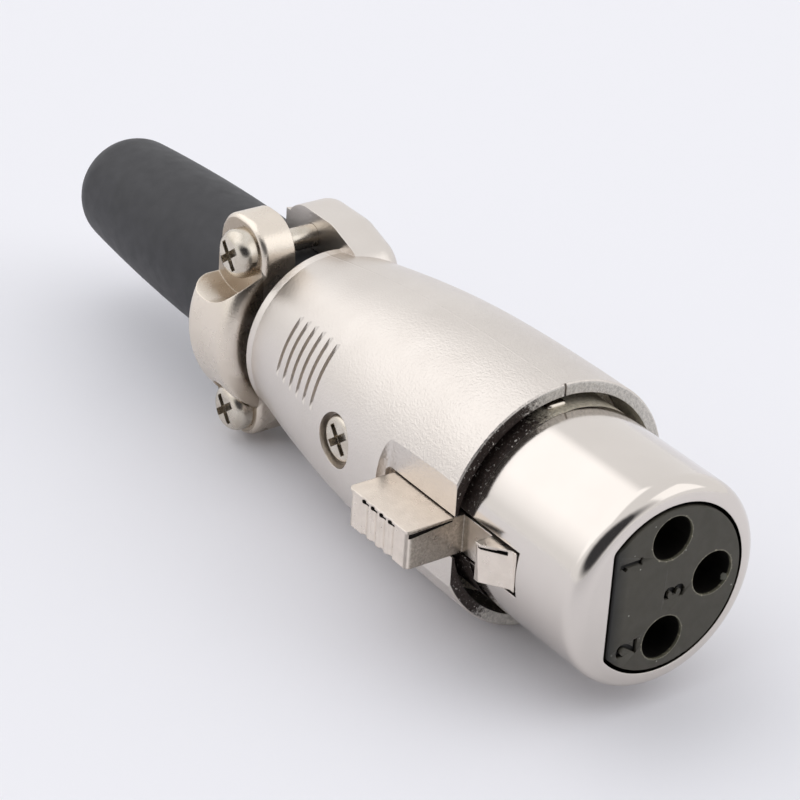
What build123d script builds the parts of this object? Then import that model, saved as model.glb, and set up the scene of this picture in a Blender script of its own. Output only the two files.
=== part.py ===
from build123d import *
import os
from math import cos, radians, sin

# Three pole female cable plug. Millimetres, +Z up.
# The origin is the centre of the mating face, +X points out of the plug towards the mating part,
# and the latch is on the -Y side. The plug lies on its side with the clamp screws across it.
# Sizes along the plug are counted backwards from the mating face.

# Nose barrel
nose_r = 7.9
nose_wall = 0.9
nose_rim_round = 1.25
nose_lip = 1.6
nose_rear = 23.9
opening_edge = 0.55
opening_flat_in = 1.5
opening_corner = 0.7
flange_front = 15.6
flange_len = 3.0
key_len = 1.9
key_w = 1.7
key_sunk = 0.5
key_proud = 0.5
key_round = 0.3

# Shell
mouth_x = 12.2
mouth_gap = 0.7
rim_w = 0.9
rim_chamfer = 0.15
nick_w = 0.18
nick_len = 0.2
chamber_wall = 0.6
taper_start = 29.5
taper_end = 36.0
neck_drop = 2.5
neck_wall = 1.5
neck_x = 40.3
neck_len = 0.7
seat_fit = 0.05
# the swell: place, and how far the radius is from the neck's (0) to the mouth's (1)
shell_swell = [(17.0, 0.988), (21.5, 0.944), (26.0, 0.848), (30.0, 0.696), (34.0, 0.468), (37.5, 0.224)]

# Finger recess and slot for the latch tab
pad_in = 0.9
pad_rear = 20.5
pad_round = 0.8
slot_clear = 0.12
slot_rear_clear = 0.9
slot_corner = 0.45

# Ribbed band on the shell, its seats counted as the swell is
rib_count = 6
rib_pitch = 1.13
rib_first_x = 29.9
rib_w = 0.38
rib_first_seat = 0.542
rib_last_seat = 0.22
rib_turn = 25.5

# Insert
insert_fit = 0.1
insert_rear = 24.4
face_gap = 0.25
face_corner = 0.55
face_edge = 0.15
pole_share = 0.5623
hole_share = 0.2435
shoulder_gap = 0.05

# Socket contacts
contact_clear = 0.08
contact_wall = 0.38
contact_front = 3.0
contact_bore_len = 14.3
contact_collar_w = 0.5
contact_collar_len = 1.2
contact_fit = 0.05
slit_w = 0.3
slit_len = 9.0
tail_step = 0.25
tail_clear = 0.1
cup_wall = 0.4
cup_depth = 4.0
cup_open_len = 3.0
cup_rear = 33.6

# Contact retainer
retainer_gap = 0.05
retainer_len = 4.0

# Latch lever, its pin and its spring
tab_front = 12.35
tab_len = 6.95
tab_w = 3.0
tab_proud = 2.85
tab_sunk = 1.8
tab_round = 0.4
groove_r = 0.42
groove_depth = 0.17
groove_pitch = 1.02
groove_first = 14.33
groove_count = 4
arm_sunk = 0.18
arm_t = 1.17
arm_tip = 6.5
arm_to_pivot = 1.3
hook_x = 9.2
hook_proud = 1.1
hook_land = 0.45
ramp_end = 6.95
slot_front_clear = 0.3
slot_side_clear = 0.25
arm_step = 0.8
lip_t = 0.2
lip_over = 0.12
lip_groove_depth = 0.08
lip_foot = 0.3
pivot_x = 22.6
pivot_over_flat = 0.55
pivot_r = 0.5
pin_fit = 0.02
pivot_clear = 0.05
boss_r = 1.15
boss_clear = 0.3
web_lap = 0.6
web_in = 0.8
web_out = 0.9
web_rear = 0.6
yoke_clear = 0.2
yoke_w = 1.35
yoke_len = 3.2
web_clear = 0.9
pin_len = 6.0
spring_x = 16.2
spring_r = 1.2
spring_wire_r = 0.16
spring_turns = 5
spring_well = 2.0
spring_well_r = 1.5
spring_end_gap = 0.03

# Insert screw
side_x = 26.2
side_z = 0.6
side_head_r = 1.8
side_head_h = 0.85
side_pocket_r = 2.05
side_seat_in = 1.6
side_shank_r = 0.95
side_shank_len = 2.9
side_shank_clear = 0.05

# Cable clamp
collar_front = 42.1
collar_len = 6.2
collar_wall = 1.9
strap_wall = 2.7
strap_round = 1.4
half_gap = 1.0
strap_gap = 2.2
ear_round = 0.5
ear_in = 0.4
ear_foot_z = 3.5
ear_y = 5.0
far_ear_y = 5.0
far_ear_over = 1.9
far_ear_round = 1.7
ear_corner = 2.7
gusset_len = 4.4
screw_x = 44.6
screw_in = 2.55
screw_r = 0.9
screw_clear = 0.1
thread_fit = 0.02
screw_end = 4.6
screw_end_room = 0.2
screw_head_r = 1.9
screw_head_h = 1.55
recess_x = 46.0
recess_r = 3.9
low_recess_r = 2.3
cross_w = 0.55
cross_len = 2.4
cross_depth = 0.75
cross_turn = 38.0

# Boot
boot_fit = 0.05
boot_flange_w = 0.65
boot_flange_len = 1.6
boot_grip_end = 48.8
boot_mid_x = 53.0
boot_mid_in = 0.0
boot_tail_len = 2.8
boot_tail_in = 0.83
boot_turn_len = 0.9
boot_turn_in = 1.6
boot_end = 72.4
boot_end_w = 0.15
cable_share = 0.4771
cable_len = 14.0
boot_hollow_clear = 1.0
boot_hollow_step = 1.5

# Radii from the barrel outwards
nose_bore_r = nose_r - nose_wall
opening_r = nose_bore_r - opening_edge
opening_flat = opening_r - opening_flat_in
mouth_r = nose_r + mouth_gap
shell_r = mouth_r + rim_w
pad_y = shell_r - pad_in
side_pocket_y = shell_r - side_seat_in

# Radii of the rear end, from the shell inwards
neck_r = shell_r - neck_drop
chamber_r = neck_r - chamber_wall
boot_bore_r = neck_r - neck_wall
collar_r = boot_bore_r + collar_wall
strap_r = boot_bore_r + strap_wall
ear_z = shell_r - ear_in
screw_z = ear_z - screw_in
far_ear_z = screw_z + far_ear_over
boot_grip_r = boot_bore_r - boot_fit
cable_r = boot_grip_r * cable_share
boot_mid_r = boot_grip_r - boot_mid_in
boot_tail_r = boot_grip_r - boot_tail_in
boot_turn_r = boot_grip_r - boot_turn_in
boot_end_r = cable_r + boot_end_w
boot_flange_r = boot_grip_r + boot_flange_w
boot_hollow_r = cable_r + boot_hollow_clear

# Insert, contacts and lever
insert_r = nose_bore_r - insert_fit
insert_flat = opening_flat
pole_r = insert_r * pole_share
hole_r = insert_r * hole_share
contact_r = hole_r - contact_clear
contact_bore_r = contact_r - contact_wall
contact_collar_r = contact_r + contact_collar_w
tail_r = contact_r - tail_step
cup_r = tail_r - cup_wall
arm_out = nose_r - arm_sunk
arm_in = arm_out - arm_t
tab_under = nose_r - tab_sunk
tab_out = shell_r + tab_proud
hook_out = nose_r + hook_proud
pivot_y = insert_flat + pivot_over_flat
arm_rear = pivot_x - arm_to_pivot
slot_w = tab_w + 2 * slot_side_clear

# Places along the plug
boot_tail_x = boot_end - boot_tail_len
boot_turn_x = boot_end - boot_turn_len
collar_rear = collar_front + collar_len
slot_rear = tab_front + tab_len + slot_rear_clear
slot_front = arm_tip - slot_front_clear
tab_slot_w = tab_w + 2 * slot_clear
nose_seat_r = nose_r + seat_fit
flange_r = mouth_r - seat_fit
flange_rear = flange_front + flange_len
rear_bore_r = insert_r + 2 * seat_fit
retainer_front = insert_rear + retainer_gap
spring_floor = insert_flat - spring_well
yoke_in = tab_w / 2 + yoke_clear
poles = [(0.0, pole_r), (0.0, -pole_r), (pole_r, 0.0)]

os.makedirs("parts", exist_ok=True)


def at_x(back):
    """Plane across the plug, that far behind the mating face: local x is +Y, local y is +Z."""
    return Plane(origin=(-back, 0, 0), x_dir=(0, 1, 0), z_dir=(1, 0, 0))


def at_y(out):
    """Plane on the latch side, that far from the axis: local x is +X, local y is +Z."""
    return Plane(origin=(0, -out, 0), x_dir=(1, 0, 0), z_dir=(0, -1, 0))


def d_outline(radius, flat, corner):
    """Circle with one flat towards the latch, its two corners rounded."""
    with BuildSketch() as outline:
        Circle(radius)
        with Locations((-flat - radius, 0)):
            Rectangle(2 * radius, 3 * radius, mode=Mode.SUBTRACT)
        fillet(outline.vertices().group_by(Axis.X)[0], corner)
    return outline.sketch


def pan_screw(seat_y, x, z, head_r, head_h, shank_r, end_y):
    """Pan head screw along Y with a cross recess, its head towards the latch side."""
    with BuildPart() as screw:
        with BuildSketch(at_y(seat_y)):
            with Locations((-x, z)):
                Circle(head_r)
        extrude(amount=head_h)
        rim = screw.edges().filter_by(GeomType.CIRCLE).sort_by(Axis.Y)[0]
        fillet(rim, head_h * 0.6)
        with BuildSketch(at_y(seat_y)):
            with Locations((-x, z)):
                Circle(shank_r)
        extrude(amount=-(seat_y - end_y))
        with BuildSketch(at_y(seat_y + head_h - cross_depth)):
            with Locations((-x, z)):
                Rectangle(cross_len, cross_w, rotation=cross_turn)
                Rectangle(cross_len, cross_w, rotation=cross_turn + 90)
        extrude(amount=cross_depth + 0.1, mode=Mode.SUBTRACT)
    return screw


def groove_spots(face, depth):
    """Centres of the tab's grooves, cut that deep into a face that far from the axis."""
    return [(-groove_first - groove_pitch * i, -face - groove_r + depth) for i in range(groove_count)]


opening = d_outline(opening_r, opening_flat, opening_corner)
face_outline = d_outline(opening_r - face_gap, opening_flat - face_gap, face_corner)
body_outline = d_outline(insert_r, insert_flat, face_corner)

# Nose barrel: turned outside, lip with the D-shaped opening, flange, latch slot and locating key.
with BuildPart() as nose_barrel:
    with BuildSketch(Plane.XY):
        with BuildLine():
            turn = radians(45)
            ThreePointArc(
                (0, nose_r - nose_rim_round),
                (-nose_rim_round * (1 - cos(turn)), nose_r - nose_rim_round * (1 - sin(turn))),
                (-nose_rim_round, nose_r))
            Polyline(
                (-nose_rim_round, nose_r), (-flange_front, nose_r), (-flange_front, flange_r),
                (-flange_rear, flange_r), (-flange_rear, nose_r), (-nose_rear, nose_r),
                (-nose_rear, 0), (0, 0), (0, nose_r - nose_rim_round))
        make_face()
    revolve(axis=Axis.X)
    with BuildSketch(at_x(nose_lip)):
        Circle(nose_bore_r)
    extrude(amount=-nose_rear, mode=Mode.SUBTRACT)
    with BuildSketch(at_x(-1)):
        add(opening)
    extrude(amount=-(nose_lip + 2), mode=Mode.SUBTRACT)
    with BuildSketch(at_y(opening_flat)):
        with Locations((-(slot_front + nose_rear + 1) / 2, 0)):
            Rectangle(nose_rear + 1 - slot_front, slot_w)
    extrude(amount=2 * nose_r, mode=Mode.SUBTRACT)
    with BuildSketch(Plane.XY.offset(nose_r - key_sunk)):
        with Locations((-flange_front + key_len / 2, 0)):
            Rectangle(key_len, key_w)
    extrude(amount=key_proud + key_sunk)
    key_edges = nose_barrel.faces().filter_by(Plane.XY).sort_by(Axis.Z)[-1].edges()
    fillet(key_edges.sort_by(Axis.X)[-1], key_round)

# Upper ear of the far clamp half, running out into the shell's neck; the lower one mirrors it.
with BuildPart() as far_ear:
    with BuildSketch(at_y(-half_gap)):
        with BuildLine():
            FilletPolyline(
                (-collar_rear, ear_foot_z), (-collar_rear, far_ear_z), (-collar_front, far_ear_z),
                (-collar_front + gusset_len, neck_r), (-collar_front + gusset_len, ear_foot_z),
                radius=ear_corner)
            Line((-collar_front + gusset_len, ear_foot_z), (-collar_rear, ear_foot_z))
        make_face()
    extrude(amount=-(far_ear_y - half_gap))
    fillet(far_ear.faces().sort_by(Axis.Y)[-1].edges(), far_ear_round)

swell_points = [(-x, neck_r + (shell_r - neck_r) * share) for x, share in shell_swell]

# Far half of the cable clamp, cast on the shell: half ring and two ears.
with BuildPart() as far_half:
    with BuildSketch(at_x(neck_x)):
        Circle(collar_r)
    extrude(amount=-(collar_rear - neck_x))
    add(far_ear.part)
    add(far_ear.part.mirror(Plane.XY))
    with BuildSketch(at_x(neck_x - gusset_len)):
        with Locations((-2 * collar_r + half_gap, 0)):
            Rectangle(4 * collar_r, 4 * collar_r)
    extrude(amount=-(collar_rear - neck_x + gusset_len), mode=Mode.SUBTRACT)

# Shell: turned body with stepped bores, far clamp half, finger recess, tab slot and ribs.
with BuildPart() as shell:
    with BuildSketch(Plane.XY):
        with BuildLine():
            Polyline(
                (-neck_x, neck_r), (-neck_x - neck_len, neck_r), (-neck_x - neck_len, 0), (-mouth_x, 0),
                (-mouth_x, shell_r - rim_chamfer), (-mouth_x - rim_chamfer, shell_r), (-mouth_x - 2, shell_r))
            Spline(
                [(-mouth_x - 2, shell_r)] + swell_points + [(-neck_x, neck_r)],
                tangents=[(-1, 0), (-1, -0.2)])
        make_face()
    revolve(axis=Axis.X)
    add(far_half.part)
    with BuildSketch(Plane.XY):
        with BuildLine():
            Polyline(
                (-mouth_x + 1, 0), (-mouth_x + 1, mouth_r), (-flange_rear - seat_fit, mouth_r),
                (-flange_rear - seat_fit, nose_seat_r), (-nose_rear - seat_fit, nose_seat_r),
                (-nose_rear - seat_fit, rear_bore_r), (-taper_start, rear_bore_r), (-taper_end, chamber_r),
                (-neck_x, chamber_r), (-neck_x, boot_bore_r), (-collar_rear - 1, boot_bore_r),
                (-collar_rear - 1, 0), (-mouth_x + 1, 0))
        make_face()
    revolve(axis=Axis.X, mode=Mode.SUBTRACT)
    # finger recess with a rounded rear end, and the tab's slot, open at the mouth
    with BuildSketch(Plane.XY):
        with BuildLine():
            Polyline(
                (-pad_rear, -pad_y - pad_round), (-pad_rear, -2 * shell_r), (-mouth_x + 1, -2 * shell_r),
                (-mouth_x + 1, -pad_y), (-pad_rear + pad_round, -pad_y))
            RadiusArc((-pad_rear + pad_round, -pad_y), (-pad_rear, -pad_y - pad_round), -pad_round)
        make_face()
    extrude(amount=shell_r, both=True, mode=Mode.SUBTRACT)
    with BuildSketch(at_y(nose_bore_r)):
        with Locations(((-slot_rear - mouth_x + 1) / 2, 0)):
            RectangleRounded(slot_rear - mouth_x + 1, tab_slot_w, slot_corner)
        with Locations((-mouth_x, 0)):
            Rectangle(2, tab_slot_w)
    extrude(amount=shell_r, mode=Mode.SUBTRACT)
    # nick of the parting line in the rim
    with BuildSketch(at_x(mouth_x - 0.1)):
        with Locations((0, shell_r)):
            Rectangle(nick_w, 2 * rim_w)
    extrude(amount=-(nick_len + 0.1), mode=Mode.SUBTRACT)
    # ribs
    out_y, out_z = -cos(radians(rib_turn)), sin(radians(rib_turn))
    for i in range(rib_count):
        share = rib_first_seat + (rib_last_seat - rib_first_seat) * i / (rib_count - 1)
        seat = neck_r + (shell_r - neck_r) * share
        x = rib_first_x + rib_pitch * i
        with BuildSketch(Plane(origin=(-x, seat * out_y, seat * out_z), x_dir=(1, 0, 0), z_dir=(0, out_y, out_z))):
            Rectangle(rib_w, 2 * shell_r)
        extrude(amount=3, mode=Mode.SUBTRACT)
    # pocket and hole of the insert screw
    with BuildSketch(at_y(side_pocket_y)):
        with Locations((-side_x, side_z)):
            Circle(side_pocket_r)
    extrude(amount=3, mode=Mode.SUBTRACT)
    with BuildSketch(at_y(insert_r - 1)):
        with Locations((-side_x, side_z)):
            Circle(side_shank_r + side_shank_clear)
    extrude(amount=3, mode=Mode.SUBTRACT)
    # threaded holes of the clamp screws
    with BuildSketch(at_y(-half_gap)):
        with Locations((-screw_x, screw_z), (-screw_x, -screw_z)):
            Circle(screw_r + thread_fit)
    extrude(amount=-(screw_end - half_gap + screw_end_room), mode=Mode.SUBTRACT)

# Near half of the cable clamp: half ring, two ears, a recess and a clear hole at each screw.
with BuildPart() as strap_ring:
    with BuildSketch(at_x(collar_front)):
        Circle(strap_r)
    extrude(amount=-collar_len)
    fillet(strap_ring.edges().filter_by(GeomType.CIRCLE), strap_round)

with BuildPart() as clamp_strap:
    with BuildSketch(at_y(strap_gap)):
        with Locations((-(collar_front + collar_rear) / 2, 0)):
            RectangleRounded(collar_len, 2 * ear_z, ear_corner)
    extrude(amount=ear_y - strap_gap)
    ear_rims = clamp_strap.faces().sort_by(Axis.Y)[0].edges()
    fillet(ear_rims, ear_round)
    add(strap_ring.part)
    with BuildSketch(at_x(collar_front - 1)):
        Circle(boot_bore_r)
        with Locations((2 * strap_r - strap_gap, 0)):
            Rectangle(4 * strap_r, 4 * strap_r)
    extrude(amount=-(collar_len + 2), mode=Mode.SUBTRACT)
    with BuildSketch(at_y(ear_y)):
        with Locations((-recess_x, screw_z)):
            Circle(recess_r)
        with Locations((-screw_x, -screw_z)):
            Circle(low_recess_r)
    extrude(amount=strap_r, mode=Mode.SUBTRACT)
    with BuildSketch(at_y(strap_gap)):
        with Locations((-screw_x, screw_z), (-screw_x, -screw_z)):
            Circle(screw_r + screw_clear)
    extrude(amount=ear_y, mode=Mode.SUBTRACT)

# Clamp screws: two equal solids.
upper_screw = pan_screw(ear_y, screw_x, screw_z, screw_head_r, screw_head_h, screw_r, -screw_end)
lower_screw = pan_screw(ear_y, screw_x, -screw_z, screw_head_r, screw_head_h, screw_r, -screw_end)
with BuildPart() as clamp_screws:
    add(upper_screw.part)
    add(lower_screw.part)

# Insert screw: its tip sits in the contact retainer.
insert_screw = pan_screw(
    side_pocket_y, side_x, side_z, side_head_r, side_head_h, side_shank_r, side_pocket_y - side_shank_len)

# Boot: hollow rubber cone with a flange that seats inside the shell's neck.
with BuildPart() as boot:
    with BuildSketch(Plane.XY):
        with BuildLine():
            flange_x = neck_x - shoulder_gap
            Polyline(
                (-boot_end, boot_end_r), (-boot_end, cable_r), (-boot_end + cable_len, cable_r),
                (-boot_end + cable_len + boot_hollow_step, boot_hollow_r), (-flange_x + boot_flange_len, boot_hollow_r),
                (-flange_x + boot_flange_len, boot_flange_r), (-flange_x, boot_flange_r),
                (-flange_x, boot_grip_r), (-boot_grip_end, boot_grip_r))
            Spline([(-boot_grip_end, boot_grip_r), (-boot_mid_x, boot_mid_r), (-boot_tail_x, boot_tail_r)],
                   tangents=[(-1, 0), (-1, -0.09)])
            ThreePointArc((-boot_tail_x, boot_tail_r), (-boot_turn_x, boot_turn_r), (-boot_end, boot_end_r))
        make_face()
    revolve(axis=Axis.X)

# Insert: face block in the opening, body with a flat, contact holes, spring well and lever yoke.
with BuildPart() as insert:
    with BuildSketch(at_x(0)):
        add(face_outline)
    extrude(amount=-(nose_lip + shoulder_gap))
    front_edges = insert.faces().sort_by(Axis.X)[-1].edges()
    fillet(front_edges, face_edge)
    with BuildSketch(at_x(nose_lip + shoulder_gap)):
        add(body_outline)
    extrude(amount=-(insert_rear - nose_lip - shoulder_gap))
    with BuildSketch(at_x(pivot_x - yoke_len / 2)):
        Circle(insert_r)
        with Locations((insert_r - insert_flat + 0.5, 0)):
            Rectangle(2 * insert_r, 2 * insert_r, mode=Mode.SUBTRACT)
        with Locations((0, yoke_in + yoke_w + insert_r), (0, -yoke_in - yoke_w - insert_r)):
            Rectangle(4 * insert_r, 2 * insert_r, mode=Mode.SUBTRACT)
    extrude(amount=-yoke_len)
    with BuildSketch(at_y(pivot_y - boss_r - boss_clear)):
        pocket_front = pivot_x - boss_r - boss_clear - web_clear
        with Locations((-(pocket_front + insert_rear + 1) / 2, 0)):
            Rectangle(insert_rear + 1 - pocket_front, 2 * yoke_in)
    extrude(amount=insert_r, mode=Mode.SUBTRACT)
    with BuildSketch(Plane.XY.offset(-insert_r)):
        with Locations((-pivot_x, -pivot_y)):
            Circle(pivot_r + pin_fit)
    extrude(amount=2 * insert_r, mode=Mode.SUBTRACT)
    with BuildSketch(at_x(-1)):
        with Locations(*poles):
            Circle(hole_r)
    extrude(amount=-(insert_rear + 2), mode=Mode.SUBTRACT)
    with BuildSketch(at_x(insert_rear + 1)):
        with Locations(*poles):
            Circle(contact_collar_r + contact_fit)
    extrude(amount=1 + contact_collar_len + contact_fit, mode=Mode.SUBTRACT)
    with BuildSketch(at_y(spring_floor)):
        with Locations((-spring_x, 0)):
            Circle(spring_well_r)
    extrude(amount=insert_r, mode=Mode.SUBTRACT)

# Contact retainer: disc with three tail holes and the blind hole for the insert screw.
with BuildPart() as contact_retainer:
    with BuildSketch(at_x(retainer_front)):
        Circle(insert_r)
        with Locations(*poles):
            Circle(tail_r + tail_clear, mode=Mode.SUBTRACT)
    extrude(amount=-retainer_len)
    with BuildSketch(at_y(side_pocket_y - side_shank_len - 0.1)):
        with Locations((-side_x, side_z)):
            Circle(side_shank_r + side_shank_clear)
    extrude(amount=insert_r, mode=Mode.SUBTRACT)


def socket_contact(y, z):
    """Slit socket, collar held between insert and retainer, tail with an open solder cup."""
    with BuildPart() as contact:
        with BuildSketch(at_x(contact_front)):
            with Locations((y, z)):
                Circle(contact_r)
        extrude(amount=-(insert_rear - contact_front))
        with BuildSketch(at_x(insert_rear)):
            with Locations((y, z)):
                Circle(contact_collar_r)
        extrude(amount=contact_collar_len)
        with BuildSketch(at_x(insert_rear)):
            with Locations((y, z)):
                Circle(tail_r)
        extrude(amount=-(cup_rear - insert_rear))
        with BuildSketch(at_x(contact_front)):
            with Locations((y, z)):
                Circle(contact_bore_r)
        extrude(amount=-contact_bore_len, mode=Mode.SUBTRACT)
        with BuildSketch(at_x(contact_front)):
            with Locations((y, z)):
                Rectangle(slit_w, 4 * contact_r)
        extrude(amount=-slit_len, mode=Mode.SUBTRACT)
        with BuildSketch(at_x(cup_rear)):
            with Locations((y, z)):
                Circle(cup_r)
        extrude(amount=cup_depth, mode=Mode.SUBTRACT)
        with BuildSketch(at_x(cup_rear)):
            with Locations((y - 2 * tail_r - 0.2, z)):
                Rectangle(4 * tail_r, 4 * tail_r)
        extrude(amount=cup_open_len, mode=Mode.SUBTRACT)
    return contact


contact_1 = socket_contact(*poles[0])
contact_2 = socket_contact(*poles[1])
contact_3 = socket_contact(*poles[2])

# Latch lever: boss on the pin, arm in the barrel's slot, ribbed tab and ramped hook.
with BuildPart() as latch_lever:
    with BuildSketch(Plane.XY):
        with BuildLine():
            Polyline(
                (-arm_rear, -tab_under), (-tab_front, -tab_under), (-tab_front + arm_step, -arm_in),
                (-arm_tip, -arm_in), (-arm_tip, -arm_out), (-ramp_end, -arm_out),
                (-hook_x + hook_land, -hook_out), (-hook_x, -hook_out), (-hook_x, -arm_out),
                (-tab_front, -arm_out), (-tab_front, -tab_out), (-tab_front - tab_len, -tab_out),
                (-tab_front - tab_len, -arm_out), (-arm_rear, -arm_out), (-arm_rear, -tab_under))
        make_face()
        with Locations((-pivot_x, -pivot_y)):
            Circle(boss_r)
        with BuildLine():
            Polyline(
                (-arm_rear, -arm_out), (-arm_rear + web_lap, -arm_out), (-arm_rear + web_lap, -tab_under),
                (-pivot_x, -pivot_y + web_in), (-pivot_x - web_rear, -pivot_y - web_out),
                (-arm_rear, -arm_out))
        make_face()
        with Locations((-pivot_x, -pivot_y)):
            Circle(pivot_r + pivot_clear, mode=Mode.SUBTRACT)
        with Locations(*groove_spots(tab_out, groove_depth)):
            Circle(groove_r, mode=Mode.SUBTRACT)
    extrude(amount=tab_w / 2, both=True)
    tab_edges = latch_lever.edges().filter_by(Axis.Z)
    tab_edges = tab_edges.filter_by_position(Axis.Y, -tab_out - 0.01, -tab_out + 0.01).sort_by(Axis.X)
    fillet([tab_edges[0], tab_edges[-1]], tab_round)
    # thin lip left by the mould along the upper edge of the tab and of the hook
    with BuildSketch(Plane.XY.offset(tab_w / 2 - lip_t)):
        with BuildLine():
            FilletPolyline(
                (-tab_front, -pad_y - lip_foot), (-tab_front + lip_over, -tab_out - lip_over),
                (-tab_front - tab_len, -tab_out - lip_over), (-tab_front - tab_len, -pad_y - lip_foot),
                radius=tab_round)
            Line((-tab_front - tab_len, -pad_y - lip_foot), (-tab_front, -pad_y - lip_foot))
        make_face()
        with Locations(*groove_spots(tab_out + lip_over, lip_groove_depth)):
            Circle(groove_r, mode=Mode.SUBTRACT)
        with BuildLine():
            Polyline(
                (-hook_x, -arm_out), (-hook_x, -hook_out - lip_over), (-hook_x + hook_land, -hook_out - lip_over),
                (-ramp_end, -arm_out), (-hook_x, -arm_out))
        make_face()
    extrude(amount=lip_t)

# Hinge pin of the lever.
with BuildPart() as latch_pivot_pin:
    with BuildSketch(Plane.XY.offset(-pin_len / 2)):
        with Locations((-pivot_x, -pivot_y)):
            Circle(pivot_r)
    extrude(amount=pin_len)

# Coil spring between the insert's well and the lever.
with BuildPart() as latch_spring:
    spring_h = tab_under - spring_floor - 2 * (spring_wire_r + spring_end_gap)
    spring_base = -spring_floor - spring_wire_r - spring_end_gap
    with BuildLine():
        coil = Helix(
            pitch=spring_h / spring_turns, height=spring_h, radius=spring_r - spring_wire_r,
            center=(-spring_x, spring_base, 0), direction=(0, -1, 0))
    with BuildSketch(Plane(origin=coil @ 0, z_dir=coil % 0)):
        Circle(spring_wire_r)
    sweep(is_frenet=True)

nose_barrel.part.label = "nose_barrel"
export_step(nose_barrel.part, "parts/nose_barrel.step")
shell.part.label = "shell"
export_step(shell.part, "parts/shell.step")
clamp_strap.part.label = "clamp_strap"
export_step(clamp_strap.part, "parts/clamp_strap.step")
clamp_screws.part.label = "clamp_screws"
export_step(clamp_screws.part, "parts/clamp_screws.step")
insert_screw.part.label = "insert_screw"
export_step(insert_screw.part, "parts/insert_screw.step")
boot.part.label = "boot"
export_step(boot.part, "parts/boot.step")
insert.part.label = "insert"
export_step(insert.part, "parts/insert.step")
contact_retainer.part.label = "contact_retainer"
export_step(contact_retainer.part, "parts/contact_retainer.step")
contact_1.part.label = "contact_1"
export_step(contact_1.part, "parts/contact_1.step")
contact_2.part.label = "contact_2"
export_step(contact_2.part, "parts/contact_2.step")
contact_3.part.label = "contact_3"
export_step(contact_3.part, "parts/contact_3.step")
latch_lever.part.label = "latch_lever"
export_step(latch_lever.part, "parts/latch_lever.step")
latch_pivot_pin.part.label = "latch_pivot_pin"
export_step(latch_pivot_pin.part, "parts/latch_pivot_pin.step")
latch_spring.part.label = "latch_spring"
export_step(latch_spring.part, "parts/latch_spring.step")
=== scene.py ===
import bpy
import math
from mathutils import Matrix, Vector


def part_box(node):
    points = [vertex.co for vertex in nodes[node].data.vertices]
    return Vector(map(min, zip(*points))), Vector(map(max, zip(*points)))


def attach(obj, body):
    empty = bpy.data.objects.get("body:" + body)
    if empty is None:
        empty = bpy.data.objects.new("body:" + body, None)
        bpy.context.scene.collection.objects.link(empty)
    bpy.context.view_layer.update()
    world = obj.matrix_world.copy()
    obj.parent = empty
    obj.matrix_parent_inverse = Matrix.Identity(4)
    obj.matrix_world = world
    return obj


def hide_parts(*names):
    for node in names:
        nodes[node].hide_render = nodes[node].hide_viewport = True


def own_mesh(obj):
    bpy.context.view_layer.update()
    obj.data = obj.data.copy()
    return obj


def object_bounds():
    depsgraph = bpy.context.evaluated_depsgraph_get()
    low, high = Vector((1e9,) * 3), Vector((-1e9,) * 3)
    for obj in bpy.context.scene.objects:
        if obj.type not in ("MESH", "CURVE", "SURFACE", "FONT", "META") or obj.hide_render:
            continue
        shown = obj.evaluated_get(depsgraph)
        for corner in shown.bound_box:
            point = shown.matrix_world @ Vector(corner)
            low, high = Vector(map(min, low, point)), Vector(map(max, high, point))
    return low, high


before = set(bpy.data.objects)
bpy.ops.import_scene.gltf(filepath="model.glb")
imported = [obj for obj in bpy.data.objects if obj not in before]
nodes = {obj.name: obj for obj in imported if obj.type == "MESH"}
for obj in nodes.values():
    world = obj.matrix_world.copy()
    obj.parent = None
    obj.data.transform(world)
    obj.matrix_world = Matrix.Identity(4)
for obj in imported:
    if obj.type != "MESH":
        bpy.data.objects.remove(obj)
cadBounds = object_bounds()
mm = 0.001
print("frame loaded:", len(nodes), "nodes")


# small helpers for material nodes
def newMaterial(name):
    material = bpy.data.materials.new(name)
    material.use_nodes = True
    tree = material.node_tree
    return material, tree, tree.nodes["Principled BSDF"]


def link(tree, output, socket):
    tree.links.new(output, socket)


def fill(tree, socket, value):
    if isinstance(value, (int, float)):
        socket.default_value = value
    elif isinstance(value, tuple):
        socket.default_value = value + (1.0,)
    else:
        link(tree, value, socket)


def objectPlace(tree, location=(0, 0, 0), scale=(1, 1, 1)):
    coords = tree.nodes.new("ShaderNodeTexCoord")
    mapping = tree.nodes.new("ShaderNodeMapping")
    mapping.inputs["Location"].default_value = location
    mapping.inputs["Scale"].default_value = scale
    link(tree, coords.outputs["Object"], mapping.inputs["Vector"])
    return mapping.outputs["Vector"]


def along(tree, axis):
    split = tree.nodes.new("ShaderNodeSeparateXYZ")
    link(tree, objectPlace(tree), split.inputs["Vector"])
    return split.outputs[axis]


def distanceFrom(tree, point, scale=(1, 1, 1)):
    node = tree.nodes.new("ShaderNodeVectorMath")
    node.operation = "LENGTH"
    location = [-a * b for a, b in zip(point, scale)]
    link(tree, objectPlace(tree, location=location, scale=scale), node.inputs[0])
    return node.outputs["Value"]


def axisDistance(tree, y=0.0, z=0.0):
    # how far a point is from a line along the plug
    return distanceFrom(tree, (0, y, z), (0, 1, 1))


def noise(tree, place, size, detail=3.0, rough=0.5):
    # size is how wide one blotch is, in metres
    node = tree.nodes.new("ShaderNodeTexNoise")
    node.inputs["Scale"].default_value = 1 / size
    node.inputs["Detail"].default_value = detail
    node.inputs["Roughness"].default_value = rough
    link(tree, place, node.inputs["Vector"])
    return node.outputs["Fac"]


def cells(tree, place, size):
    node = tree.nodes.new("ShaderNodeTexVoronoi")
    node.inputs["Scale"].default_value = 1 / size
    link(tree, place, node.inputs["Vector"])
    return node.outputs["Distance"]


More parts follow.
